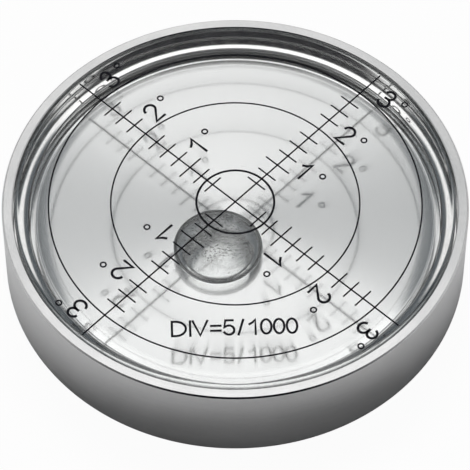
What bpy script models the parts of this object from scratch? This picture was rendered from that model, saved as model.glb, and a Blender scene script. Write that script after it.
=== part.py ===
"""Bullseye level: a round spirit level in a turned aluminium housing.

A clear moulded cup, open side down, hangs by its flange in the housing. A bright metal disc
closes it from below and holds the liquid in. The underside of the cup's lens is slightly
domed, so the bubble in the liquid runs to the highest point. The scale is printed on the
flat top of the lens. Metres, +Z up, origin at the centre of the base.
"""

import bpy
import bmesh
from math import cos, pi, radians, sin, sqrt, tan
from mathutils import Matrix, Vector

MM = 0.001

# Housing, turned from bar
HOUSING_RADIUS = 30.0 * MM
HOUSING_HEIGHT = 12.0 * MM
RIM_WIDTH = 1.4 * MM
OUTER_EDGE_BREAK = 0.2 * MM
INNER_EDGE_BREAK = 0.12 * MM
BASE_EDGE_RADIUS = 0.4 * MM

# Vial, moulded in clear acrylic
LENS_RECESS = 0.1 * MM
LENS_THICKNESS = 1.9 * MM
FLANGE_THICKNESS = 3.15 * MM
FLANGE_OVERHANG = 1.9 * MM
FLANGE_CLEARANCE = 0.2 * MM
FLANGE_EDGE_BREAK = 0.3 * MM
CHAMBER_DEPTH = 3.35 * MM
CUP_WALL = 0.5 * MM
CUP_CLEARANCE = 0.2 * MM
CUP_END_CLEARANCE = 0.3 * MM
CUP_INNER_FILLET = 0.5 * MM

# Reflector, a stamped disc that closes the cup
REFLECTOR_THICKNESS = 1.2 * MM
REFLECTOR_CLEARANCE = 0.1 * MM

# Adhesive between the flange and the housing's ledge
BOND_LINE = 0.12 * MM
BOND_WIDTH = 1.1 * MM
BOND_INSET = 0.15 * MM
BOND_GAP = 0.01 * MM

# Liquid and bubble
LIQUID_GAP = 0.05 * MM
BUBBLE_RADIUS = 5.7 * MM
BUBBLE_FLAT_RADIUS = 4.8 * MM
BUBBLE_SHOULDER = 1.0 * MM
BUBBLE_X = -2.4 * MM
BUBBLE_Y = -5.68 * MM
BUBBLE_FULLNESS = 2.2
BUBBLE_FLOOR_GAP = 0.3 * MM
BUBBLE_OVERSHOOT = 0.4 * MM

# Scale: one division is 5 mm in a metre, one degree is four divisions
DIAL_MARGIN = 0.1 * MM
DIVISIONS_PER_ARM = 14
DIVISIONS_PER_DEGREE = 4
TARGET_DIVISIONS = 2.5
DEGREE_RINGS = (2, 3)
FIRST_TICK = 2
LAST_TICK = 11
TICK_LENGTH = 3.0 * MM
DEGREE_TICK_LENGTH = 4.0 * MM
CROSS_TURN = radians(45.0)
LINE_WIDTH = 0.2 * MM
TARGET_LINE_WIDTH = 0.28 * MM
INK_THICKNESS = 0.05 * MM
INK_GAP = 0.01 * MM

# Facets round the axis
ROUND_STEPS = 96
BUBBLE_STEPS = 40
TARGET_STEPS = 48
DOME_STEPS = 5
FILLET_STEPS = 3

# Levels and radii that follow from the sizes above
LENS_TOP = HOUSING_HEIGHT - LENS_RECESS
LENS_UNDERSIDE = LENS_TOP - LENS_THICKNESS
FLANGE_UNDERSIDE = LENS_TOP - FLANGE_THICKNESS
LEDGE_TOP = FLANGE_UNDERSIDE - BOND_LINE
REFLECTOR_TOP = LENS_UNDERSIDE - CHAMBER_DEPTH
CUP_END = REFLECTOR_TOP - REFLECTOR_THICKNESS
HOUSING_FLOOR = CUP_END - CUP_END_CLEARANCE
REBATE_RADIUS = HOUSING_RADIUS - RIM_WIDTH
FLANGE_RADIUS = REBATE_RADIUS - FLANGE_CLEARANCE
CUP_RADIUS = FLANGE_RADIUS - FLANGE_OVERHANG
BORE_RADIUS = CUP_RADIUS + CUP_CLEARANCE
CHAMBER_RADIUS = CUP_RADIUS - CUP_WALL
BOND_OUTER_RADIUS = FLANGE_RADIUS - BOND_INSET
BUBBLE_DEPTH = CHAMBER_DEPTH - BUBBLE_FLOOR_GAP
CROSS_REACH = FLANGE_RADIUS - FLANGE_EDGE_BREAK - DIAL_MARGIN
DIVISION = CROSS_REACH / DIVISIONS_PER_ARM
TARGET_RADIUS = DIVISION * TARGET_DIVISIONS
DEGREE_RUN = DIVISION * DIVISIONS_PER_DEGREE
DOME_RADIUS = DEGREE_RUN / tan(radians(1.0))


def clear_scene():
    for old in list(bpy.data.objects):
        bpy.data.objects.remove(old)


def new_collection(name):
    collection = bpy.data.collections.new(name)
    bpy.context.scene.collection.children.link(collection)
    return collection


def material(name, colour, roughness, metallic=0.0, transmission=0.0, ior=1.5):
    made = bpy.data.materials.new(name)
    made.use_nodes = True
    shader = made.node_tree.nodes["Principled BSDF"]
    shader.inputs["Base Color"].default_value = (*colour, 1.0)
    shader.inputs["Roughness"].default_value = roughness
    shader.inputs["Metallic"].default_value = metallic
    shader.inputs["Transmission Weight"].default_value = transmission
    shader.inputs["IOR"].default_value = ior
    return made


def aluminium():
    return material("turned_aluminium", (0.80, 0.80, 0.81), 0.25, metallic=1.0)


def bright_disc():
    return material("bright_disc", (0.86, 0.87, 0.87), 0.12, metallic=1.0)


def clear_acrylic():
    return material("clear_acrylic", (1.0, 1.0, 1.0), 0.0, transmission=1.0, ior=1.49)


def level_liquid():
    return material("level_liquid", (0.99, 1.0, 1.0), 0.0, transmission=1.0, ior=1.42)


def clear_adhesive():
    return material("clear_adhesive", (0.93, 0.93, 0.91), 0.2, transmission=0.6)


def black_ink():
    return material("black_ink", (0.012, 0.012, 0.016), 0.4)


def keep_as_cutter(piece, cutters):
    """A cutter is only a tool for another piece, so it shows as wire and isn't rendered."""
    for holder in list(piece.users_collection):
        holder.objects.unlink(piece)
    cutters.objects.link(piece)
    piece.hide_render = True
    piece.display_type = "WIRE"
    return piece


def turned(name, profile, finish, collection, closed=True, steps=ROUND_STEPS):
    """Spin a profile of (radius, height) points, listed down its outer side, about Z."""
    mesh = bpy.data.meshes.new(name)
    edges = [(i, i + 1) for i in range(len(profile) - 1)]
    if closed:
        edges.append((len(profile) - 1, 0))
    mesh.from_pydata([(radius, 0.0, height) for radius, height in profile], edges, [])
    piece = bpy.data.objects.new(name, mesh)
    collection.objects.link(piece)
    mesh.materials.append(finish)
    screw = piece.modifiers.new("turn", "SCREW")
    screw.steps = steps
    screw.render_steps = steps
    screw.use_merge_vertices = True
    screw.merge_threshold = 0.000001
    screw.use_smooth_shade = True
    return piece


def arc(centre, radius, start, end, steps):
    """Points of a circular arc in the profile plane, angles in degrees from +radius."""
    points = []
    for i in range(steps + 1):
        angle = radians(start + (end - start) * i / steps)
        points.append((centre[0] + radius * cos(angle), centre[1] + radius * sin(angle)))
    return points


def dome_height(radius, crown):
    """Height of the domed underside of the lens at a radius, crown at the axis."""
    return crown - (DOME_RADIUS - sqrt(DOME_RADIUS ** 2 - radius ** 2))


def chamber(wall_radius, crown, foot):
    """Profile of the liquid's space: domed roof from the axis out, fillet, wall down to its foot."""
    shoulder = wall_radius - CUP_INNER_FILLET
    radii = [shoulder * i / DOME_STEPS for i in range(DOME_STEPS)]
    points = [(radius, dome_height(radius, crown)) for radius in radii]
    corner = (shoulder, dome_height(shoulder, crown) - CUP_INNER_FILLET)
    points += arc(corner, CUP_INNER_FILLET, 90.0, 0.0, FILLET_STEPS)
    points.append((wall_radius, foot))
    return points


def make_housing(collection):
    """Cup with a rebate for the flange, a ledge to carry it and a bore for the vial."""
    outer_break = HOUSING_RADIUS - OUTER_EDGE_BREAK
    inner_break = REBATE_RADIUS + INNER_EDGE_BREAK
    base_corner = (HOUSING_RADIUS - BASE_EDGE_RADIUS, BASE_EDGE_RADIUS)
    profile = [
        (0.0, HOUSING_FLOOR),
        (BORE_RADIUS, HOUSING_FLOOR),
        (BORE_RADIUS, LEDGE_TOP),
        (REBATE_RADIUS, LEDGE_TOP),
        (REBATE_RADIUS, HOUSING_HEIGHT - INNER_EDGE_BREAK),
        (inner_break, HOUSING_HEIGHT),
        (outer_break, HOUSING_HEIGHT),
        (HOUSING_RADIUS, HOUSING_HEIGHT - OUTER_EDGE_BREAK),
    ]
    profile += arc(base_corner, BASE_EDGE_RADIUS, 0.0, -90.0, FILLET_STEPS)
    profile.append((0.0, 0.0))
    return turned("housing", profile, aluminium(), collection, closed=False)


def make_vial(collection):
    """Clear cup, open downwards: flat lens with a domed underside, flange and thin wall."""
    edge = FLANGE_RADIUS - FLANGE_EDGE_BREAK
    profile = [
        (0.0, LENS_TOP),
        (edge, LENS_TOP),
        (FLANGE_RADIUS, LENS_TOP - FLANGE_EDGE_BREAK),
        (FLANGE_RADIUS, FLANGE_UNDERSIDE),
        (CUP_RADIUS, FLANGE_UNDERSIDE),
        (CUP_RADIUS, CUP_END),
    ]
    profile += reversed(chamber(CHAMBER_RADIUS, LENS_UNDERSIDE, CUP_END))
    return turned("vial", profile, clear_acrylic(), collection, closed=False)


def make_reflector(collection):
    """Disc bonded into the open end of the cup, bright side up."""
    radius = CHAMBER_RADIUS - REFLECTOR_CLEARANCE
    profile = [(0.0, REFLECTOR_TOP), (radius, REFLECTOR_TOP), (radius, CUP_END), (0.0, CUP_END)]
    return turned("reflector_disc", profile, bright_disc(), collection, closed=False)


def bubble_profile():
    """Bubble lying flat against the lens: a flat top, a round shoulder and a full belly."""
    waist = -BUBBLE_SHOULDER
    belly = BUBBLE_DEPTH - BUBBLE_SHOULDER
    overhang = BUBBLE_RADIUS - BUBBLE_FLAT_RADIUS
    points = [(0.0, BUBBLE_OVERSHOOT), (BUBBLE_FLAT_RADIUS, BUBBLE_OVERSHOOT)]
    for i in range(FILLET_STEPS + 1):
        angle = radians(90.0 - 90.0 * i / FILLET_STEPS)
        points.append((BUBBLE_FLAT_RADIUS + overhang * cos(angle), waist * (1.0 - sin(angle))))
    power = 2.0 / BUBBLE_FULLNESS
    belly_steps = 2 * FILLET_STEPS
    for i in range(1, belly_steps):
        angle = 0.5 * pi * i / belly_steps
        points.append((BUBBLE_RADIUS * cos(angle) ** power, waist - belly * sin(angle) ** power))
    points.append((0.0, -BUBBLE_DEPTH))
    return points


def make_liquid(collection, cutters):
    """The liquid fills the cup, and the bubble is the dent it leaves under the lens."""
    crown = LENS_UNDERSIDE - LIQUID_GAP
    foot = REFLECTOR_TOP + LIQUID_GAP
    profile = chamber(CHAMBER_RADIUS - LIQUID_GAP, crown, foot)
    profile.append((0.0, foot))
    liquid = turned("liquid", profile, level_liquid(), collection, closed=False)
    bubble = turned("bubble_cutter", bubble_profile(), level_liquid(), cutters,
                    closed=False, steps=BUBBLE_STEPS)
    offset = sqrt(BUBBLE_X ** 2 + BUBBLE_Y ** 2)
    bubble.location = (BUBBLE_X, BUBBLE_Y, dome_height(offset, crown))
    keep_as_cutter(bubble, cutters)
    dent = liquid.modifiers.new("bubble", "BOOLEAN")
    dent.operation = "DIFFERENCE"
    dent.solver = "EXACT"
    dent.object = bubble
    return liquid


def make_bond(collection):
    """Thin ring of adhesive that seats the flange on the ledge."""
    inner = BOND_OUTER_RADIUS - BOND_WIDTH
    top = FLANGE_UNDERSIDE - BOND_GAP
    bottom = LEDGE_TOP + BOND_GAP
    profile = [(inner, bottom), (inner, top), (BOND_OUTER_RADIUS, top), (BOND_OUTER_RADIUS, bottom)]
    return turned("adhesive_ring", profile, clear_adhesive(), collection)


def ink_ring(name, radius, width, collection, steps=ROUND_STEPS):
    bottom = LENS_TOP + INK_GAP
    top = bottom + INK_THICKNESS
    inner = radius - 0.5 * width
    outer = radius + 0.5 * width
    profile = [(inner, bottom), (inner, top), (outer, top), (outer, bottom)]
    return turned(name, profile, black_ink(), collection, steps=steps)


def ink_bars(name, bars, collection):
    """Flat bars in one mesh. Each bar is (x, y, angle, length), turned about its middle."""
    mesh = bpy.data.meshes.new(name)
    made = bmesh.new()
    middle = LENS_TOP + INK_GAP + 0.5 * INK_THICKNESS
    for x, y, angle, length in bars:
        place = Matrix.Translation(Vector((x, y, middle))) @ Matrix.Rotation(angle, 4, "Z")
        size = Matrix.Diagonal(Vector((length, LINE_WIDTH, INK_THICKNESS, 1.0)))
        bmesh.ops.create_cube(made, size=1.0, matrix=place @ size)
    made.to_mesh(mesh)
    made.free()
    piece = bpy.data.objects.new(name, mesh)
    collection.objects.link(piece)
    return piece


def tick_bars():
    """Ticks across the four arms, one a division, longer at one degree, none at a ring."""
    bars = []
    ring_divisions = [degree * DIVISIONS_PER_DEGREE for degree in DEGREE_RINGS]
    for arm in range(4):
        angle = CROSS_TURN + arm * 0.5 * pi
        for division in range(FIRST_TICK, LAST_TICK + 1):
            if division in ring_divisions:
                continue
            length = DEGREE_TICK_LENGTH if division == DIVISIONS_PER_DEGREE else TICK_LENGTH
            out = division * DIVISION
            bars.append((out * cos(angle), out * sin(angle), angle + 0.5 * pi, length))
    return bars


def make_scale(collection, cutters):
    """Target ring, degree rings, crosshair and ticks, printed in one go."""
    scale = ink_ring("scale_print", TARGET_RADIUS, TARGET_LINE_WIDTH, collection, TARGET_STEPS)
    marks = []
    for degree in DEGREE_RINGS:
        marks.append(ink_ring(f"ring_{degree}_degrees", degree * DEGREE_RUN, LINE_WIDTH, cutters))
    for arm in range(2):
        line = (0.0, 0.0, CROSS_TURN + arm * 0.5 * pi, 2.0 * CROSS_REACH)
        marks.append(ink_bars(f"cross_line_{arm + 1}", [line], cutters))
    marks.append(ink_bars("ticks", tick_bars(), cutters))
    for mark in marks:
        keep_as_cutter(mark, cutters)
        join = scale.modifiers.new(mark.name, "BOOLEAN")
        join.operation = "UNION"
        join.solver = "EXACT"
        join.object = mark
    return scale


def main():
    clear_scene()
    level = new_collection("bullseye_level")
    cutters = new_collection("cutters")
    make_housing(level)
    make_bond(level)
    make_vial(level)
    make_reflector(level)
    make_liquid(level, cutters)
    make_scale(level, cutters)


main()
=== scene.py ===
"""Looks of the bullseye level: finishes, fine edges, printed dial, light and camera.

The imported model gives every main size. The turned pieces are spun again here with smooth
fine edges, the dial is printed with its numbers, and the clear pieces get true optics: faces
that liquid or adhesive wets pass light straight through, and faces that meet air bend it.
Metres, +Z up, origin at the centre of the base.
"""

from math import cos, pi, radians, sin, sqrt, tan

import bmesh
import bpy
from mathutils import Matrix, Vector


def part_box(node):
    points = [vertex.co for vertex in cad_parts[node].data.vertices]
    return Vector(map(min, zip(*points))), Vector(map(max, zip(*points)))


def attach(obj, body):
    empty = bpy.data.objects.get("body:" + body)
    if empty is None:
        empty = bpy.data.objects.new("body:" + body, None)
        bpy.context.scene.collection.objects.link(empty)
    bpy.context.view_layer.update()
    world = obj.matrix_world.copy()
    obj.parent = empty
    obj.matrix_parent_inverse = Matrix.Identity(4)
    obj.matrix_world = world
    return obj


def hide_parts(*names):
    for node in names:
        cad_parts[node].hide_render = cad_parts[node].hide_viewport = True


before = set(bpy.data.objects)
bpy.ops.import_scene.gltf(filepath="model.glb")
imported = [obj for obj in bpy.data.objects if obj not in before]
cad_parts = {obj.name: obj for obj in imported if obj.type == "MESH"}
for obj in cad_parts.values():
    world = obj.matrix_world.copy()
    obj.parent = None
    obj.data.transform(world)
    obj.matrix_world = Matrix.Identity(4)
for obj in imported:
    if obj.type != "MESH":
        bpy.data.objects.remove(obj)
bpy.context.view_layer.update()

MM = 0.001
BODY = "root"

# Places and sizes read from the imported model
HOUSING_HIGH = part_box("housing")[1]
VIAL_LOW, VIAL_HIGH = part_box("vial")
DISC_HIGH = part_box("reflector_disc")[1]
LIQUID_LOW, LIQUID_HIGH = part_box("liquid")
BOND_LOW, BOND_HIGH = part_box("adhesive_ring")
PRINT_LOW, PRINT_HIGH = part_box("scale_print")
HOUSING_RADIUS = HOUSING_HIGH.x
HOUSING_TOP = HOUSING_HIGH.z
FLANGE_RADIUS = VIAL_HIGH.x
LENS_TOP = VIAL_HIGH.z
CUP_END = VIAL_LOW.z
DISC_RADIUS = DISC_HIGH.x
DISC_TOP = DISC_HIGH.z
LIQUID_RADIUS = LIQUID_HIGH.x
LIQUID_CROWN = LIQUID_HIGH.z
LIQUID_FOOT = LIQUID_LOW.z
BOND_RADIUS = BOND_HIGH.x
PRINT_BOTTOM = PRINT_LOW.z
PRINT_TOP = PRINT_HIGH.z

# Housing
RIM_WIDTH = 1.4 * MM
OUTER_EDGE_BREAK = 0.2 * MM
INNER_EDGE_BREAK = 0.12 * MM
BASE_EDGE_RADIUS = 0.4 * MM
LEDGE_BELOW_BOND = 0.01 * MM
LEDGE_FALL_WIDTH = 0.8 * MM
LEDGE_FALL = 0.08 * MM
LEDGE_FALL_STEPS = 8
BORE_GAP = 0.2 * MM
FLOOR_GAP = 0.3 * MM
EDGE_ROUND = 0.04 * MM

# Vial
FLANGE_OVERHANG = 1.9 * MM
FLANGE_EDGE_ROUND = 0.5 * MM
CUP_WALL = 0.5 * MM
CUP_INNER_FILLET = 0.5 * MM
WETTED_GAP = 0.05 * MM
SMALL_ROUND = 0.06 * MM
BOND_WIDTH = 1.1 * MM

# Disc
DISC_FALL_WIDTH = 1.6 * MM
DISC_FALL = 0.145 * MM
DISC_LIP_WIDTH = 0.24 * MM
DISC_LIP_RISE = 0.024 * MM
DISC_EDGE_STEPS = 10

# Bubble
BUBBLE_RADIUS = 5.7 * MM
BUBBLE_FLAT_RADIUS = 4.8 * MM
BUBBLE_DEPTH = 3.05 * MM
BUBBLE_SHOULDER = 1.0 * MM
BUBBLE_ROUNDNESS = 2.2
BUBBLE_CENTRE = Vector((-2.4 * MM, -5.68 * MM, 0.0))
BUBBLE_FILM = 0.02 * MM

# Dial
DIVISION = 2.0 * MM
DIVISIONS_PER_DEGREE = 4
TARGET_DIVISIONS = 2.5
DEGREES = (1, 2, 3)
DEGREE_RINGS = (2, 3)
FIRST_TICK = 2
LAST_TICK = 11
TICK_LENGTH = 3.0 * MM
DEGREE_TICK_LENGTH = 4.0 * MM
CROSS_REACH = 28.0 * MM
CROSS_TURN = radians(45.0)
CROSS_ARMS = 4
LINE_WIDTH = 0.2 * MM
TARGET_LINE_WIDTH = 0.28 * MM
NUMBER_HEIGHT = 3.05 * MM
NUMBER_STROKE = 0.34 * MM
NUMBER_OFFSET = 3.25 * MM
NUMBER_LIFT = 0.17 * MM
DEGREE_SIGN_RADIUS = 0.36 * MM
DEGREE_SIGN_STROKE = 0.21 * MM
DEGREE_SIGN_OFFSET = 5.53 * MM
DEGREE_SIGN_LIFT = 2.62 * MM
LEGEND = "DIV=5/1000"
LEGEND_HEIGHT = 2.45 * MM
LEGEND_CENTRE = -0.75 * MM
LEGEND_BASELINE = -20.6 * MM
LEGEND_STROKE = 0.30 * MM
SIGN_WIDTH = 0.53
MITRE_LIMIT = 0.6
COUNT_MARGIN = 0.1

# Shared by several finishes. LAY is how far noise runs along a lathe line per radian.
WHITE = (1.0, 1.0, 1.0)
BLACK = (0.0, 0.0, 0.0)
QUARTER_TURN = 0.25
LAY = 0.004
NOISE_DETAIL = 3.0
NOISE_LOW = 0.3
NOISE_HIGH = 0.7

# Turned aluminium: tones and roughness between two values, and noise scales per metre
TURNED_TONES = ((0.74, 0.74, 0.745), (0.81, 0.81, 0.81))
TURNED_ROUGHNESS = (0.18, 0.24)
TURNED_LINE_DEPTH = 0.02 * MM
FACED_TONES = ((0.78, 0.78, 0.78), (0.84, 0.84, 0.84))
FACED_ROUGHNESS = (0.09, 0.115)
FACED_LINE_DEPTH = 0.01 * MM
# Bore tones are dark as painted shade for the narrow gap round the clear cup
BORE_PAINTED_SHADE_TONES = ((0.20, 0.20, 0.21), (0.30, 0.30, 0.31))
BORED_ROUGHNESS = (0.45, 0.55)
BORED_LINE_DEPTH = 0.1 * MM
FINE_LINES = 9000.0
FINE_LINE_GAIN = 0.6
FINE_LINE_SHARE = 0.7
COARSE_LINES = 1400.0
COARSE_LINE_SHARE = 0.3
LINE_STRENGTH = 0.10
ANISOTROPY = 0.5
HAZE_SCALE = 160.0

# Bright disc: a sharp mirror and a wide sheen
DISC_COLOUR = (0.93, 0.94, 0.94)
DISC_LAY = 0.003
DISC_LINES = 7000.0
DISC_LINE_SHARE = 0.6
DISC_GRAIN = 6000.0
DISC_GRAIN_SHARE = 0.4
DISC_LINE_STRENGTH = 0.05
DISC_LINE_DEPTH = 0.01 * MM
MIRROR_ROUGHNESS = 0.10
MIRROR_ANISOTROPY = 0.6
SHEEN_ROUGHNESS = 0.22
SHEEN_ANISOTROPY = 1.0
SHEEN_SHARE = 0.72

# Clear acrylic and liquid
ACRYLIC_INDEX = 1.49
COAT_INDEX = 1.3
ACRYLIC_TINT = (0.995, 1.0, 0.998)
LAMP_TINT = (0.97, 0.97, 0.97)

# Drops on the bubble's flat: cells per metre, wet share from thin to thick, limits in a cell
DROP_CELLS = 3400.0
DROP_HEIGHT = 0.32 * MM
DROP_CORE = 0.1
DROP_EDGE = 0.36
MIST_THIN = -8.6 * MM
MIST_THICK = -7.0 * MM
MIST_LEAST = -0.15
MIST_MOST = 0.6
MIST_PATCHES = 500.0
MIST_DRYNESS = 0.3

# Adhesive: ragged white edge and faint cloud
RAG_SCALE = 1800.0
RAG_DEPTH = 0.2 * MM
RAG_SOFTNESS = 0.06 * MM
RAG_SHARE = 0.8
CLOUD_SCALE = 700.0
CLOUD_LOW = 0.35
CLOUD_HIGH = 0.65
CLOUD_SHARE = 0.02
MILK_COLOUR = (0.92, 0.92, 0.91)
ADHESIVE_TINT = (0.99, 0.99, 0.989)

# Ink
INK_SCALE = 2500.0
INK_TONES = ((0.003, 0.003, 0.006), (0.010, 0.010, 0.014))
INK_ROUGHNESS = 0.55
INK_SPECULAR = 0.2

# Facets
ROUND_STEPS = 288
BUBBLE_STEPS = 128
EDGE_STEPS = 5
DOME_STEPS = 24
FILLET_STEPS = 8
FLAT_STEPS = 4
SHOULDER_STEPS = 24
BELLY_STEPS = 48
BOW_STEPS = 20
DEGREE_SIGN_STEPS = 24
SUPPORT_REACH = 0.4
SHARP_ANGLE = radians(40.0)
NARROW = 0.001 * MM

# Follow-on sizes
REBATE_RADIUS = HOUSING_RADIUS - RIM_WIDTH
CUP_RADIUS = FLANGE_RADIUS - FLANGE_OVERHANG
BORE_RADIUS = CUP_RADIUS + BORE_GAP
CHAMBER_RADIUS = CUP_RADIUS - CUP_WALL
LENS_UNDERSIDE = LIQUID_CROWN + WETTED_GAP
FLANGE_UNDERSIDE = BOND_HIGH.z + LEDGE_BELOW_BOND
LEDGE_TOP = BOND_LOW.z - LEDGE_BELOW_BOND
MOUTH_ROUND = 0.4 * SMALL_ROUND
DISC_ROUND = 0.5 * SMALL_ROUND
WET_MARGIN = 0.1 * SMALL_ROUND
HOUSING_FLOOR = CUP_END - FLOOR_GAP
DEGREE_RUN = DIVISION * DIVISIONS_PER_DEGREE
DOME_RADIUS = DEGREE_RUN / tan(radians(1.0))

# Room that the metal and the clear pieces mirror: limits of a unit direction, then colours,
# and how far the room is dimmed for the light that it throws on matt faces
SIDE_START = 0.05
SIDE_END = 0.17
STRIP_SPREAD_END = 0.57
STRIP_SPREAD = 1.15
BESIDE_START = 0.45
BESIDE_END = 0.62
HORIZON_START = 0.28
HORIZON_END = 0.46
FRONT_START = -0.20
FRONT_END = 0.02
LOW_END = 0.60
HIGH_START = 0.92
ROOM_HIGH = (1.35, 1.35, 1.34)
ROOM_LOW = (0.42, 0.42, 0.42)
ROOM_SIDE = (0.080, 0.094, 0.104)
ROOM_FRONT = (0.006, 0.006, 0.009)
ROOM_HORIZON = (0.65, 0.65, 0.65)
ROOM_DIMMED = 0.5

# Key light and floor
KEY_PLACE = (-0.03, 0.42, 0.72)
KEY_SIZE = (0.5, 0.35)
KEY_POWER = 4.0
FLOOR_HALF = 3.0
FLOOR_COLOUR = (0.86, 0.86, 0.86)
FLOOR_WHITE_SHARE = 0.96

# Camera: the photograph's angle, fitted to the rim, rings and crosshair
CAMERA_ELEVATION = radians(54.2)
CAMERA_AZIMUTH = radians(-1.97)
CAMERA_DISTANCE = 0.4384
CAMERA_LENS = 261.3
CAMERA_DROP = 4.258 * MM
CAMERA_SIDE = -0.035 * MM
CAMERA_CLIP = (0.01, 20.0)

# Light paths, deep enough for the clear faces
BOUNCES = 24
GLOSSY_BOUNCES = 12
CLEAR_BOUNCES = 32


class Nodes:
    """A node tree under construction, with short calls to add and join its nodes."""

    prefix = "ShaderNode"

    def __init__(self, tree):
        self.tree = tree
        self.tree.nodes.clear()

    def join(self, value, socket):
        """Give a socket its value: a link from a node or an output, or a constant."""
        if isinstance(value, bpy.types.Node):
            value = value.outputs[0]
        if isinstance(value, bpy.types.NodeSocket):
            self.tree.links.new(value, socket)
        else:
            socket.default_value = (*value, 1.0) if socket.type == "RGBA" else value

    def add(self, kind, values=None, **settings):
        """Add a node by the short or the whole name of its kind."""
        node = self.tree.nodes.new(kind if "Node" in kind else self.prefix + kind)
        for key, value in settings.items():
            setattr(node, key, value)
        for key, value in (values or {}).items():
            self.join(value, node.inputs[key])
        return node

    def maths(self, operation, a, b=0.0, c=0.0):
        """Result of a calculation on up to three values."""
        values = {0: a, 1: b, 2: c}
        return self.add("ShaderNodeMath", values, operation=operation).outputs[0]

    def ramp(self, value, start, end, low=0.0, high=1.0):
        """A value's place between two limits, run smoothly from low to high."""
        return self.add("ShaderNodeMapRange", {
            "Value": value, "From Min": start, "From Max": end, "To Min": low, "To Max": high,
        }, interpolation_type="SMOOTHSTEP").outputs[0]

    def mix(self, share, first, second):
        """Colour between two colours, by a share."""
        values = {0: share, 6: first, 7: second}
        return self.add("ShaderNodeMix", values, data_type="RGBA").outputs[2]


class Finish(Nodes):
    """A material and its nodes."""

    def __init__(self, name):
        self.material = bpy.data.materials.new(name)
        self.material.use_nodes = True
        super().__init__(self.material.node_tree)

    def finish(self, shader):
        """End the tree and return the material."""
        self.join(shader, self.add("OutputMaterial").inputs["Surface"])
        return self.material

    def place(self):
        """Coordinates of the object, which are metres in the shared frame."""
        return self.add("TexCoord").outputs["Object"]

    def noise(self, place, scale, detail=2.0, roughness=0.5):
        """Smooth noise at a place, with its scale per metre."""
        values = {"Vector": place, "Scale": scale, "Detail": detail, "Roughness": roughness}
        return self.add("TexNoise", values).outputs[0]

    def lathe(self, along):
        """Coordinates for lathe lines: fine across the lines and long round the axis."""
        x, y, z = self.add("SeparateXYZ", {0: self.place()}).outputs
        square = self.maths("ADD", self.maths("MULTIPLY", x, x), self.maths("MULTIPLY", y, y))
        turn = self.maths("MULTIPLY", self.maths("ARCTAN2", y, x), along)
        return self.add("CombineXYZ", {0: self.maths("SQRT", square), 1: turn, 2: z})

    def metal(self, colour, roughness, bump, anisotropy):
        """Bare metal with lathe lines, which spreads light across them."""
        return self.add("BsdfPrincipled", {
            "Base Color": colour, "Metallic": 1.0, "Roughness": roughness, "Normal": bump,
            "Anisotropic": anisotropy, "Anisotropic Rotation": QUARTER_TURN,
            "Tangent": self.add("Tangent", direction_type="RADIAL", axis="Z"),
        })


class Shape(Nodes):
    """A Geometry Nodes tree with named inputs for its sizes."""

    prefix = "GeometryNode"

    def __init__(self, name):
        super().__init__(bpy.data.node_groups.new(name, "GeometryNodeTree"))
        self.sizes = {}
        self.entry = self.add("NodeGroupInput")

    def size(self, name, value, kind="NodeSocketFloat"):
        """Add a named input and its value for this part."""
        socket = self.tree.interface.new_socket(name, in_out="INPUT", socket_type=kind)
        self.sizes[socket.identifier] = value
        return self.entry.outputs[name]

    def vector(self, x=0.0, y=0.0, z=0.0):
        """Vector of three values."""
        return self.add("ShaderNodeCombineXYZ", {0: x, 1: y, 2: z})

    def together(self, *shapes):
        """Shapes joined into one, in the order given."""
        node = self.add("JoinGeometry")
        for shape in reversed(shapes):
            self.join(shape, node.inputs[0])
        return node

    def make(self, name, shape, finish):
        """End the tree, set its inputs and return its result as a plain mesh object."""
        self.tree.interface.new_socket("Geometry", in_out="OUTPUT",
                                       socket_type="NodeSocketGeometry")
        whole = self.add("RealizeInstances", {0: shape})
        dressed = self.add("SetMaterial", {"Geometry": whole, "Material": finish})
        self.join(dressed, self.add("NodeGroupOutput").inputs[0])
        blank = linked(bpy.data.objects.new(name + "_blank", bpy.data.meshes.new(name)))
        modifier = blank.modifiers.new(name, "NODES")
        modifier.node_group = self.tree
        for identifier, value in self.sizes.items():
            modifier[identifier] = value
        return plain_mesh(blank, name)


def linked(piece):
    """Put an object into the scene."""
    bpy.context.scene.collection.objects.link(piece)
    return piece


def plain_mesh(blank, name):
    """Turn a piece with modifiers into a plain mesh object of that name."""
    bpy.context.view_layer.update()
    graph = bpy.context.evaluated_depsgraph_get()
    mesh = bpy.data.meshes.new_from_object(blank.evaluated_get(graph))
    mesh.name = name
    bpy.data.objects.remove(blank)
    return linked(bpy.data.objects.new(name, mesh))


def rounded(corners, steps=EDGE_STEPS):
    """Profile points of a (radius, height, round) outline, each corner rounded by an arc.

    A support point on either side of an arc keeps the shading of the straight parts flat.
    """
    points = []
    last = len(corners) - 1
    for i, (r, z, fillet) in enumerate(corners):
        here = Vector((r, z))
        if fillet == 0.0 or i in (0, last):
            points.append((r, z))
            continue
        back = (Vector(corners[i - 1][:2]) - here).normalized()
        ahead = (Vector(corners[i + 1][:2]) - here).normalized()
        half = 0.5 * back.angle(ahead)
        reach = fillet / tan(half)
        centre = here + (back + ahead).normalized() * (fillet / sin(half))
        start = here + back * reach - centre
        end = here + ahead * reach - centre
        turn = start.angle_signed(end)
        points.append(tuple(centre + start + back * SUPPORT_REACH * fillet))
        for k in range(steps + 1):
            arm = start.copy()
            arm.rotate(Matrix.Rotation(-turn * k / steps, 2))
            points.append(tuple(centre + arm))
        points.append(tuple(centre + end + ahead * SUPPORT_REACH * fillet))
    return points


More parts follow.
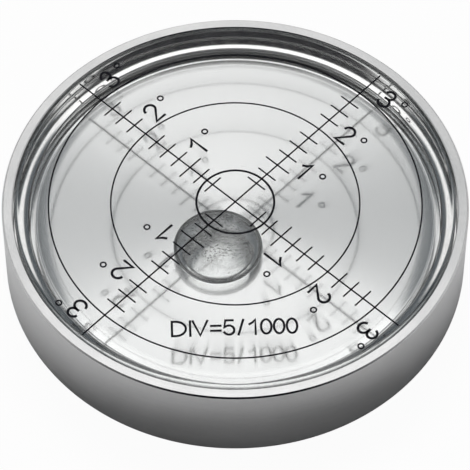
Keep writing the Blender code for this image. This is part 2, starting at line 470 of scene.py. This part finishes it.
def turned(name, profile, finish, closed=False, steps=ROUND_STEPS):
    """Spin a profile of (radius, height) points, listed down its outer side, about Z."""
    mesh = bpy.data.meshes.new(name)
    edges = [(i, i + 1) for i in range(len(profile) - 1)]
    if closed:
        edges.append((len(profile) - 1, 0))
    mesh.from_pydata([(r, 0.0, z) for r, z in profile], edges, [])
    mesh.materials.append(finish)
    blank = linked(bpy.data.objects.new(name + "_blank", mesh))
    screw = blank.modifiers.new("turn", "SCREW")
    screw.steps = steps
    screw.render_steps = steps
    screw.use_merge_vertices = True
    screw.merge_threshold = 0.5 * NARROW
    piece = plain_mesh(blank, name)
    piece.data.shade_smooth()
    piece.data.set_sharp_from_angle(angle=SHARP_ANGLE)
    return piece


def dress(piece, node):
    """The piece stands in for a node, which is hidden, and rides with the body."""
    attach(piece, BODY)
    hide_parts(node)


def paint(piece, finish, test):
    """Give the faces whose centre passes a test of (radius, height) another material."""
    piece.data.materials.append(finish)
    index = len(piece.data.materials) - 1
    for face in piece.data.polygons:
        x, y, z = face.center
        if test(sqrt(x * x + y * y), z):
            face.material_index = index


def lathed_aluminium(name, tones, roughness, line_depth):
    """Aluminium off the lathe: tool lines round the axis and a faint haze of handling."""
    f = Finish(name)
    lay = f.lathe(along=LAY)
    fine = f.noise(lay, FINE_LINES, NOISE_DETAIL, FINE_LINE_GAIN)
    lines = f.maths("ADD", f.maths("MULTIPLY", fine, FINE_LINE_SHARE),
                    f.maths("MULTIPLY", f.noise(lay, COARSE_LINES), COARSE_LINE_SHARE))
    bump = f.add("Bump", {"Height": lines, "Strength": LINE_STRENGTH, "Distance": line_depth})
    haze = f.noise(f.place(), HAZE_SCALE, NOISE_DETAIL)
    hazed = f.ramp(haze, NOISE_LOW, NOISE_HIGH, *roughness)
    tone = f.mix(f.ramp(lines, NOISE_LOW, NOISE_HIGH), *tones)
    return f.finish(f.metal(tone, hazed, bump, ANISOTROPY))


def turned_aluminium():
    """Outside and rim, fine-turned to a satin."""
    return lathed_aluminium("turned_aluminium", TURNED_TONES, TURNED_ROUGHNESS,
                            TURNED_LINE_DEPTH)


def faced_aluminium():
    """Ledge and rebate under the flange, faced bright."""
    return lathed_aluminium("faced_aluminium", FACED_TONES, FACED_ROUGHNESS, FACED_LINE_DEPTH)


def bored_aluminium():
    """Bore below the ledge, left rough, its tones darkened as painted shade for the narrow gap
    round the cup.
    """
    return lathed_aluminium("bored_aluminium", BORE_PAINTED_SHADE_TONES, BORED_ROUGHNESS, BORED_LINE_DEPTH)


def bright_disc():
    """Bright disc, faced and polished: a mirror with a wide sheen across its lathe lines."""
    f = Finish("bright_disc")
    lines = f.noise(f.lathe(along=DISC_LAY), DISC_LINES)
    grain = f.noise(f.place(), DISC_GRAIN)
    height = f.maths("ADD", f.maths("MULTIPLY", lines, DISC_LINE_SHARE),
                     f.maths("MULTIPLY", grain, DISC_GRAIN_SHARE))
    bump = f.add("Bump", {"Height": height, "Strength": DISC_LINE_STRENGTH,
                          "Distance": DISC_LINE_DEPTH})
    mirror = f.metal(DISC_COLOUR, MIRROR_ROUGHNESS, bump, MIRROR_ANISOTROPY)
    sheen = f.metal(DISC_COLOUR, SHEEN_ROUGHNESS, bump, SHEEN_ANISOTROPY)
    return f.finish(f.add("MixShader", {0: SHEEN_SHARE, 1: mirror, 2: sheen}))


def clear_to_lamps(f, shader):
    """Let lamps shine straight through a clear face, so that what lies under it is lit."""
    ray = f.add("LightPath")
    straight = f.add("BsdfTransparent", {"Color": LAMP_TINT})
    return f.finish(f.add("MixShader", {0: ray.outputs["Is Shadow Ray"], 1: shader,
                                        2: straight}))


def clear_face(name):
    """A face of acrylic or liquid that meets air."""
    f = Finish(name)
    return clear_to_lamps(f, f.add("BsdfGlass", {"Color": ACRYLIC_TINT, "Roughness": 0.0,
                                                 "IOR": ACRYLIC_INDEX}))


def misted_surface():
    """Flat of the bubble, where fine drops of liquid cling under the lens, fewest near -Y."""
    f = Finish("misted_surface")
    cells = f.add("TexVoronoi", {"Vector": f.place(), "Scale": DROP_CELLS})
    middle = cells.outputs["Position"]
    y = f.add("SeparateXYZ", {0: middle}).outputs[1]
    share = f.maths("ADD", f.ramp(y, MIST_THIN, MIST_THICK, MIST_LEAST, MIST_MOST),
                    f.noise(middle, MIST_PATCHES))
    wet = f.maths("LESS_THAN", f.maths("ADD", cells.outputs["Color"], MIST_DRYNESS), share)
    height = f.ramp(cells.outputs["Distance"], DROP_CORE, DROP_EDGE, 1.0, 0.0)
    drops = f.maths("MULTIPLY", height, wet)
    bump = f.add("Bump", {"Height": drops, "Strength": 1.0, "Distance": DROP_HEIGHT})
    return clear_to_lamps(f, f.add("BsdfGlass", {"Color": WHITE, "Roughness": 0.0,
                                                 "IOR": ACRYLIC_INDEX, "Normal": bump}))


def coated_lens():
    """Face of the lens, with a hard coat that takes half of the shine off the acrylic."""
    f = Finish("coated_lens")
    through = f.add("BsdfRefraction", {"Color": WHITE, "Roughness": 0.0,
                                       "IOR": ACRYLIC_INDEX})
    shine = f.add("BsdfGlossy", {"Color": WHITE, "Roughness": 0.0})
    share = f.add("Fresnel", {"IOR": COAT_INDEX})
    return clear_to_lamps(f, f.add("MixShader", {0: share, 1: through, 2: shine}))


def wetted(name):
    """A clear face that liquid or adhesive touches: no light is bent or mirrored there."""
    f = Finish(name)
    return f.finish(f.add("BsdfTransparent", {"Color": WHITE}))


def cured_adhesive():
    """Cured clear adhesive, a little milky, with a ragged white edge where it squeezed out."""
    f = Finish("cured_adhesive")
    radius = f.add("SeparateXYZ", {0: f.lathe(along=LAY)}).outputs[0]
    rag = f.noise(f.place(), RAG_SCALE, NOISE_DETAIL)
    ragged = f.maths("MULTIPLY_ADD", rag, RAG_DEPTH, radius)
    edge = f.ramp(ragged, BOND_RADIUS, BOND_RADIUS + RAG_SOFTNESS, 0.0, RAG_SHARE)
    cloud = f.ramp(f.noise(f.place(), CLOUD_SCALE, NOISE_DETAIL), CLOUD_LOW, CLOUD_HIGH,
                   0.0, CLOUD_SHARE)
    milk = f.add("BsdfDiffuse", {"Color": MILK_COLOUR})
    clear = f.add("BsdfTransparent", {"Color": ADHESIVE_TINT})
    return f.finish(f.add("MixShader", {0: f.maths("MAXIMUM", cloud, edge), 1: clear, 2: milk}))


def black_ink():
    """Screen-printed ink: near black, matt, a touch uneven."""
    f = Finish("black_ink")
    tone = f.mix(f.noise(f.place(), INK_SCALE, NOISE_DETAIL), *INK_TONES)
    return f.finish(f.add("BsdfPrincipled", {"Base Color": tone, "Roughness": INK_ROUGHNESS,
                                             "Specular IOR Level": INK_SPECULAR}))


def make_housing():
    """Turned cup: rim, ledge that falls off toward the bore, and bore, all edges broken."""
    mouth = []
    for i in range(LEDGE_FALL_STEPS):
        part = 1.0 - (i + 1) / LEDGE_FALL_STEPS
        mouth.append((BORE_RADIUS + LEDGE_FALL_WIDTH * (1.0 - part),
                      LEDGE_TOP - LEDGE_FALL * part * part, 0.0))
    profile = rounded([
        (0.0, HOUSING_FLOOR, 0.0),
        (BORE_RADIUS, HOUSING_FLOOR, SMALL_ROUND),
        (BORE_RADIUS, LEDGE_TOP - LEDGE_FALL, MOUTH_ROUND),
        *mouth,
        (REBATE_RADIUS, LEDGE_TOP, SMALL_ROUND),
        (REBATE_RADIUS, HOUSING_TOP - INNER_EDGE_BREAK, EDGE_ROUND),
        (REBATE_RADIUS + INNER_EDGE_BREAK, HOUSING_TOP, EDGE_ROUND),
        (HOUSING_RADIUS - OUTER_EDGE_BREAK, HOUSING_TOP, EDGE_ROUND),
        (HOUSING_RADIUS, HOUSING_TOP - OUTER_EDGE_BREAK, EDGE_ROUND),
        (HOUSING_RADIUS, 0.0, BASE_EDGE_RADIUS),
        (0.0, 0.0, 0.0),
    ])
    housing = turned("housing_shell", profile, turned_aluminium())

    # Faces of the bore, which take the darkened tones of painted shade
    def bored(radius, height):
        in_bore = HOUSING_FLOOR + NARROW < height < LEDGE_TOP - LEDGE_FALL
        return in_bore and radius < BORE_RADIUS + NARROW

    def faced(radius, height):
        on_ledge = BORE_RADIUS + NARROW < radius < REBATE_RADIUS + NARROW
        return on_ledge and LEDGE_TOP - LEDGE_FALL < height < HOUSING_TOP - INNER_EDGE_BREAK

    paint(housing, bored_aluminium(), bored)
    paint(housing, faced_aluminium(), faced)
    dress(housing, "housing")


def arc(centre, radius, start, end, steps):
    """Points of a circular arc in the profile plane, angles in degrees from +radius."""
    points = []
    for i in range(steps + 1):
        angle = radians(start + (end - start) * i / steps)
        points.append((centre[0] + radius * cos(angle), centre[1] + radius * sin(angle)))
    return points


def dome_height(radius, crown):
    """Height of the domed underside of the lens at a radius, crown at the axis."""
    return crown - (DOME_RADIUS - sqrt(DOME_RADIUS ** 2 - radius ** 2))


def chamber(wall_radius, crown, foot):
    """Profile of the liquid's space: domed roof from the axis out, fillet, wall down."""
    shoulder = wall_radius - CUP_INNER_FILLET
    radii = [shoulder * i / DOME_STEPS for i in range(DOME_STEPS)]
    points = [(r, dome_height(r, crown)) for r in radii]
    corner = (shoulder, dome_height(shoulder, crown) - CUP_INNER_FILLET)
    points += arc(corner, CUP_INNER_FILLET, 90.0, 0.0, FILLET_STEPS)
    points.append((wall_radius, foot))
    return points


def make_vial():
    """Clear moulding, open downwards, wetted by the liquid inside and the adhesive below."""
    outside = rounded([
        (0.0, LENS_TOP, 0.0),
        (FLANGE_RADIUS, LENS_TOP, FLANGE_EDGE_ROUND),
        (FLANGE_RADIUS, FLANGE_UNDERSIDE, SMALL_ROUND),
        (CUP_RADIUS, FLANGE_UNDERSIDE, SMALL_ROUND),
        (CUP_RADIUS, CUP_END, SMALL_ROUND),
        (CHAMBER_RADIUS, CUP_END, 0.0),
    ])
    inside = list(reversed(chamber(CHAMBER_RADIUS, LENS_UNDERSIDE, CUP_END)))
    vial = turned("vial_moulding", outside + inside[1:], clear_face("clear_acrylic"))

    def lens_face(radius, height):
        return height > LENS_TOP - NARROW

    def wet_inside(radius, height):
        return radius < CHAMBER_RADIUS + WET_MARGIN and height < LENS_TOP - SMALL_ROUND

    def wet_below(radius, height):
        on_bond = BOND_RADIUS - BOND_WIDTH < radius < BOND_RADIUS
        return on_bond and abs(height - FLANGE_UNDERSIDE) < NARROW

    paint(vial, coated_lens(), lens_face)
    paint(vial, wetted("wetted_acrylic"), wet_inside)
    paint(vial, wetted("bonded_acrylic"), wet_below)
    dress(vial, "vial")


def make_disc():
    """Stamped disc: flat, falling off toward its edge, where a narrow lip turns up."""
    lip = DISC_RADIUS - SMALL_ROUND - DISC_LIP_WIDTH
    flat = lip - DISC_FALL_WIDTH
    profile = [(0.0, DISC_TOP), (flat - SMALL_ROUND, DISC_TOP)]
    parts = [i / DISC_EDGE_STEPS for i in range(DISC_EDGE_STEPS)]
    profile += [(flat + DISC_FALL_WIDTH * part, DISC_TOP - DISC_FALL * part * part)
                for part in parts]
    foot = DISC_TOP - DISC_FALL
    profile += [(lip + DISC_LIP_WIDTH * part, foot + DISC_LIP_RISE * sin(0.5 * pi * part))
                for part in parts]
    profile += rounded([
        (lip + DISC_LIP_WIDTH, foot + DISC_LIP_RISE, 0.0),
        (DISC_RADIUS, foot + DISC_LIP_RISE, DISC_ROUND),
        (DISC_RADIUS, CUP_END, SMALL_ROUND),
        (0.0, CUP_END, 0.0),
    ])
    dress(turned("reflector", profile, bright_disc()), "reflector_disc")


def bubble_profile():
    """Air held up against the lens: flat on top, tight at the shoulder, full below the waist."""
    overhang = BUBBLE_RADIUS - BUBBLE_FLAT_RADIUS
    belly = BUBBLE_DEPTH - BUBBLE_SHOULDER
    power = 2.0 / BUBBLE_ROUNDNESS
    points = [(BUBBLE_FLAT_RADIUS * i / FLAT_STEPS, 0.0) for i in range(FLAT_STEPS)]
    for i in range(SHOULDER_STEPS + 1):
        angle = 0.5 * pi * (1.0 - i / SHOULDER_STEPS)
        drop = BUBBLE_SHOULDER * (1.0 - sin(angle))
        points.append((BUBBLE_FLAT_RADIUS + overhang * cos(angle), -drop))
    for i in range(1, BELLY_STEPS):
        angle = 0.5 * pi * i / BELLY_STEPS
        points.append((BUBBLE_RADIUS * cos(angle) ** power,
                       -BUBBLE_SHOULDER - belly * sin(angle) ** power))
    points.append((0.0, -BUBBLE_DEPTH))
    return points


def make_liquid():
    """Liquid with the bubble as an air space in it, just under the lens."""
    profile = chamber(LIQUID_RADIUS, LIQUID_CROWN, LIQUID_FOOT)
    profile.append((0.0, LIQUID_FOOT))
    liquid = turned("liquid_fill", profile, wetted("wetted_liquid"))
    bubble = turned("bubble_space", bubble_profile(), clear_face("liquid_free_surface"),
                    steps=BUBBLE_STEPS)
    top = dome_height(BUBBLE_CENTRE.length, LIQUID_CROWN) - BUBBLE_FILM

    def flat(radius, height):
        return height > -NARROW and radius < BUBBLE_FLAT_RADIUS

    paint(bubble, misted_surface(), flat)
    bubble.data.transform(Matrix.Translation(BUBBLE_CENTRE + Vector((0.0, 0.0, top))))
    bubble.data.flip_normals()
    pair = [liquid, bubble]
    with bpy.context.temp_override(active_object=liquid, selected_editable_objects=pair):
        bpy.ops.object.join()
    dress(liquid, "liquid")


def make_adhesive():
    """Thin bead between the flange and the ledge."""
    inner = BOND_RADIUS - BOND_WIDTH
    profile = [(inner, BOND_LOW.z), (inner, BOND_HIGH.z), (BOND_RADIUS, BOND_HIGH.z),
               (BOND_RADIUS, BOND_LOW.z)]
    bead = turned("adhesive_bead", profile, cured_adhesive(), closed=True)
    dress(bead, "adhesive_ring")


def make_scale():
    """Rings, crosshair and ticks of the dial, all as flat strokes of ink."""
    t = Shape("dial_scale")
    division = t.size("Division", DIVISION)
    per_degree = t.size("Divisions per Degree", DIVISIONS_PER_DEGREE, "NodeSocketInt")
    target = t.size("Target Divisions", TARGET_DIVISIONS)
    first_ring = t.size("First Ring Degree", DEGREE_RINGS[0], "NodeSocketInt")
    second_ring = t.size("Second Ring Degree", DEGREE_RINGS[1], "NodeSocketInt")
    first_tick = t.size("First Tick", FIRST_TICK, "NodeSocketInt")
    tick_count = t.size("Tick Count", LAST_TICK - FIRST_TICK + 1, "NodeSocketInt")
    tick_length = t.size("Tick Length", TICK_LENGTH)
    degree_tick_length = t.size("Degree Tick Length", DEGREE_TICK_LENGTH)
    reach = t.size("Cross Reach", CROSS_REACH)
    turn = t.size("Cross Turn", CROSS_TURN)
    arm_count = t.size("Cross Arms", CROSS_ARMS, "NodeSocketInt")
    line_width = t.size("Line Width", LINE_WIDTH)
    target_width = t.size("Target Line Width", TARGET_LINE_WIDTH)
    thickness = t.size("Ink Thickness", PRINT_TOP - PRINT_BOTTOM)
    level = t.size("Ink Level", 0.5 * (PRINT_BOTTOM + PRINT_TOP))
    steps = t.size("Ring Steps", ROUND_STEPS, "NodeSocketInt")

    number = t.maths("ADD", t.add("InputIndex"), first_tick)
    on_ring = t.maths("COMPARE", number, t.maths("MULTIPLY", first_ring, per_degree),
                      COUNT_MARGIN)
    on_degree = t.maths("COMPARE", number, per_degree, COUNT_MARGIN)
    longer = t.maths("SUBTRACT", degree_tick_length, tick_length)
    length = t.maths("MULTIPLY_ADD", on_degree, longer, tick_length)
    row = t.add("MeshLine", {"Count": tick_count, "Offset": t.vector(division),
                             "Start Location": t.vector(t.maths("MULTIPLY", first_tick,
                                                                division))})
    tick = t.add("CurvePrimitiveLine", {"Start": (0.0, -0.5, 0.0), "End": (0.0, 0.5, 0.0)})
    ticks = t.add("InstanceOnPoints", {
        "Points": row, "Selection": t.maths("SUBTRACT", 1.0, on_ring), "Instance": tick,
        "Scale": t.vector(1.0, length, 1.0)})
    spoke = t.add("CurvePrimitiveLine", {"Start": (0.0, 0.0, 0.0), "End": t.vector(reach)})
    hub = t.add("MeshLine", {"Count": arm_count, "Offset": (0.0, 0.0, 0.0)})
    spacing = t.maths("DIVIDE", 2.0 * pi, arm_count)
    bearing = t.maths("MULTIPLY_ADD", t.add("InputIndex"), spacing, turn)
    arms = t.add("InstanceOnPoints", {"Points": hub, "Instance": t.together(ticks, spoke),
                                      "Rotation": t.vector(0.0, 0.0, bearing)})

    def ring(divisions):
        return t.add("CurvePrimitiveCircle", {"Resolution": steps,
                                              "Radius": t.maths("MULTIPLY", divisions, division)})

    def inked(paths, width):
        section = t.add("CurvePrimitiveQuadrilateral", {"Width": width, "Height": thickness})
        return t.add("CurveToMesh", {"Curve": paths, "Profile Curve": section,
                                     "Fill Caps": True})

    rings = [ring(t.maths("MULTIPLY", degree, per_degree)) for degree in (first_ring, second_ring)]
    fine = inked(t.together(t.add("RealizeInstances", {0: arms}), *rings), line_width)
    ink = t.together(fine, inked(ring(target), target_width))
    raised = t.add("SetPosition", {"Geometry": ink, "Offset": t.vector(0.0, 0.0, level)})
    dress(t.make("scale_lines", raised, INK), "scale_print")


def add_stroke(made, path, width, place, closed=False):
    """Add a stroke of ink along a flat path: a thin band with mitred corners, square ends."""
    points = [Vector(point) for point in path]
    count = len(points)
    if not closed:
        points[0] += (points[0] - points[1]).normalized() * 0.5 * width
        points[-1] += (points[-1] - points[-2]).normalized() * 0.5 * width
    rings = []
    for i, here in enumerate(points):
        ways = []
        if i > 0 or closed:
            ways.append((here - points[i - 1]).normalized())
        if i < count - 1 or closed:
            ways.append((points[(i + 1) % count] - here).normalized())
        along = (ways[0] + ways[-1]).normalized()
        reach = 0.5 * width / max(along.dot(ways[0]), MITRE_LIMIT)
        side = Vector((-along.y, along.x)) * reach
        corners = [(here + side, PRINT_BOTTOM), (here + side, PRINT_TOP),
                   (here - side, PRINT_TOP), (here - side, PRINT_BOTTOM)]
        rings.append([made.verts.new(place @ Vector((*flat, z))) for flat, z in corners])
    for i in range(count if closed else count - 1):
        first, second = rings[i], rings[(i + 1) % count]
        for k in range(4):
            made.faces.new((first[k - 1], first[k], second[k], second[k - 1]))
    if not closed:
        made.faces.new(reversed(rings[0]))
        made.faces.new(rings[-1])


def bow(x, y, reach_x, reach_y, start, end, steps=BOW_STEPS):
    """Points of part of an oval, angles in degrees."""
    points = []
    for i in range(steps + 1):
        angle = radians(start + (end - start) * i / steps)
        points.append((x + reach_x * cos(angle), y + reach_y * sin(angle)))
    return points


def glyph(sign):
    """Step to the next sign and the strokes of a sign, for a height of one."""
    oval = bow(0.265, 0.5, 0.265, 0.5, 0.0, 346.0, 26)
    bowl = bow(0.19, 0.5, 0.52, 0.5, 90.0, -90.0, 24)
    hook = bow(0.26, 0.32, 0.27, 0.32, 130.0, -150.0)
    crook = bow(0.26, 0.735, 0.25, 0.265, 170.0, -36.0)
    upper = bow(0.255, 0.765, 0.225, 0.235, 162.0, -78.0)
    lower = bow(0.26, 0.265, 0.26, 0.265, 85.0, -162.0)
    signs = {
        "0": (0.66, [(oval, True)]),
        "1": (0.605, [([(0.03, 0.70), (0.17, 0.80), (0.32, 1.0), (0.32, 0.0)], False)]),
        "2": (0.66, [(crook + [(0.01, 0.0), (0.49, 0.0)], False)]),
        "3": (0.66, [(upper + [(0.17, 0.53)], False), (lower, False)]),
        "5": (0.75, [([(0.46, 1.0), (0.09, 1.0), (0.02, 0.51)] + hook, False)]),
        "D": (0.93, [([(0.0, 0.0), (0.0, 1.0)] + bowl, True)]),
        "I": (0.14, [([(0.0, 0.0), (0.0, 1.0)], False)]),
        "V": (0.89, [([(0.0, 1.0), (0.37, 0.0), (0.74, 1.0)], False)]),
        "=": (0.69, [([(0.05, 0.30), (0.52, 0.30)], False), ([(0.05, 0.64), (0.52, 0.64)], False)]),
        "/": (0.55, [([(0.0, 0.0), (0.25, 1.0)], False)]),
    }
    return signs[sign]


def add_words(made, words, height, stroke, place):
    """Add signs in a row, centred on the place's X and standing on its baseline."""
    rise = height - stroke
    steps = [glyph(sign)[0] for sign in words[:-1]]
    start = -0.5 * (sum(steps) + SIGN_WIDTH) * height
    for sign in words:
        step, strokes = glyph(sign)
        for path, closed in strokes:
            spread = [(start + x * height, 0.5 * stroke + y * rise) for x, y in path]
            add_stroke(made, spread, stroke, place, closed)
        start += step * height


def printed(name, made):
    """A piece of print that rides on the lens."""
    mesh = bpy.data.meshes.new(name)
    bmesh.ops.recalc_face_normals(made, faces=made.faces)
    made.to_mesh(mesh)
    made.free()
    mesh.materials.append(INK)
    piece = linked(bpy.data.objects.new(name, mesh))
    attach(piece, BODY)


def make_numbers():
    """Degree numbers beside each arm, read from the dial's centre, with their degree signs."""
    made = bmesh.new()
    sign_end = 360.0 - 360.0 / DEGREE_SIGN_STEPS
    for arm in range(CROSS_ARMS):
        angle = CROSS_TURN + arm * 2.0 * pi / CROSS_ARMS
        frame_of_arm = Matrix.Rotation(angle - 0.5 * pi, 4, "Z")
        for degree in DEGREES:
            base = degree * DEGREE_RUN + NUMBER_LIFT
            place = frame_of_arm @ Matrix.Translation(Vector((NUMBER_OFFSET, base, 0.0)))
            add_words(made, str(degree), NUMBER_HEIGHT, NUMBER_STROKE, place)
            sign = bow(DEGREE_SIGN_OFFSET, degree * DEGREE_RUN + DEGREE_SIGN_LIFT,
                       DEGREE_SIGN_RADIUS, DEGREE_SIGN_RADIUS, 0.0, sign_end,
                       DEGREE_SIGN_STEPS - 1)
            add_stroke(made, sign, DEGREE_SIGN_STROKE, frame_of_arm, closed=True)
    printed("scale_numbers", made)


def make_legend():
    """Line under the dial's centre that gives the value of one division."""
    made = bmesh.new()
    place = Matrix.Translation(Vector((LEGEND_CENTRE, LEGEND_BASELINE, 0.0)))
    add_words(made, LEGEND, LEGEND_HEIGHT, LEGEND_STROKE, place)
    printed("scale_legend", made)


def make_camera():
    """Camera at the photograph's angle, aimed a little off the dial's centre."""
    data = bpy.data.cameras.new("camera")
    camera = linked(bpy.data.objects.new("camera", data))
    data.lens = CAMERA_LENS
    data.clip_start, data.clip_end = CAMERA_CLIP
    c, s = cos(CAMERA_AZIMUTH), sin(CAMERA_AZIMUTH)
    back = Vector((s * cos(CAMERA_ELEVATION), -c * cos(CAMERA_ELEVATION), sin(CAMERA_ELEVATION)))
    right = Vector((c, s, 0.0))
    up = back.cross(right)
    dial = Vector((0.0, 0.0, LENS_TOP))
    camera.location = dial + back * CAMERA_DISTANCE
    aim = dial - up * CAMERA_DROP + right * CAMERA_SIDE
    camera.rotation_mode = "QUATERNION"
    camera.rotation_quaternion = (aim - camera.location).to_track_quat("-Z", "Y")
    bpy.context.scene.camera = camera


def make_floor():
    """Pale floor: white to the camera but for the object's shadow, plain paper to the rest."""
    mesh = bpy.data.meshes.new("floor")
    made = bmesh.new()
    bmesh.ops.create_grid(made, x_segments=1, y_segments=1, size=FLOOR_HALF)
    made.to_mesh(mesh)
    made.free()
    f = Finish("pale_floor")
    share = f.maths("MULTIPLY", f.add("LightPath").outputs["Is Camera Ray"], FLOOR_WHITE_SHARE)
    paper = f.add("BsdfDiffuse", {"Color": FLOOR_COLOUR})
    white = f.add("Emission", {"Color": WHITE, "Strength": 1.0})
    mesh.materials.append(f.finish(f.add("MixShader", {0: share, 1: paper, 2: white})))
    linked(bpy.data.objects.new("floor", mesh))


def make_room():
    """Bright room behind the object and dark in front: white to the camera, dim on matt."""
    world = bpy.data.worlds.new("room")
    bpy.context.scene.world = world
    world.use_nodes = True
    f = Nodes(world.node_tree)
    x, y, z = f.add("SeparateXYZ", {0: f.add("TexCoord").outputs["Generated"]}).outputs
    room = f.mix(f.ramp(z, LOW_END, HIGH_START), ROOM_LOW, ROOM_HIGH)
    aside = f.maths("ABSOLUTE", x)
    nearer = f.maths("MAXIMUM", f.maths("SUBTRACT", STRIP_SPREAD_END, y), 0.0)
    past = f.maths("SUBTRACT", aside, f.maths("MULTIPLY", nearer, STRIP_SPREAD))
    room = f.mix(f.ramp(past, SIDE_START, SIDE_END), room, ROOM_SIDE)
    room = f.mix(f.ramp(y, FRONT_START, FRONT_END), ROOM_FRONT, room)
    beside = f.maths("MULTIPLY", f.ramp(aside, BESIDE_START, BESIDE_END),
                     f.ramp(z, HORIZON_START, HORIZON_END, 1.0, 0.0))
    ray = f.add("LightPath")
    mirrored = f.maths("SUBTRACT", 1.0, ray.outputs["Is Diffuse Ray"])
    room = f.mix(f.maths("MULTIPLY", beside, mirrored), room, ROOM_HORIZON)
    dimmed = f.maths("MULTIPLY", ray.outputs["Is Diffuse Ray"], ROOM_DIMMED)
    room = f.mix(dimmed, room, BLACK)
    seen = f.mix(ray.outputs["Is Camera Ray"], room, WHITE)
    f.join(f.add("Background", {"Color": seen}), f.add("OutputWorld").inputs["Surface"])


def make_light():
    """Soft key light from behind the object, which metal and glass don't mirror."""
    data = bpy.data.lights.new("key", "AREA")
    data.shape = "RECTANGLE"
    data.size, data.size_y = KEY_SIZE
    data.energy = KEY_POWER
    key = linked(bpy.data.objects.new("key", data))
    key.location = KEY_PLACE
    key.rotation_mode = "QUATERNION"
    key.rotation_quaternion = (-Vector(KEY_PLACE)).to_track_quat("-Z", "Y")
    key.visible_glossy = False
    key.visible_transmission = False


INK = black_ink()
make_camera()
make_housing()
make_vial()
make_disc()
make_liquid()
make_adhesive()
make_scale()
make_numbers()
make_legend()
make_floor()
make_room()
make_light()

scene = bpy.context.scene
scene.view_settings.view_transform = "Standard"
scene.cycles.transparent_max_bounces = CLEAR_BOUNCES
scene.cycles.max_bounces = BOUNCES
scene.cycles.transmission_bounces = BOUNCES
scene.cycles.glossy_bounces = GLOSSY_BOUNCES
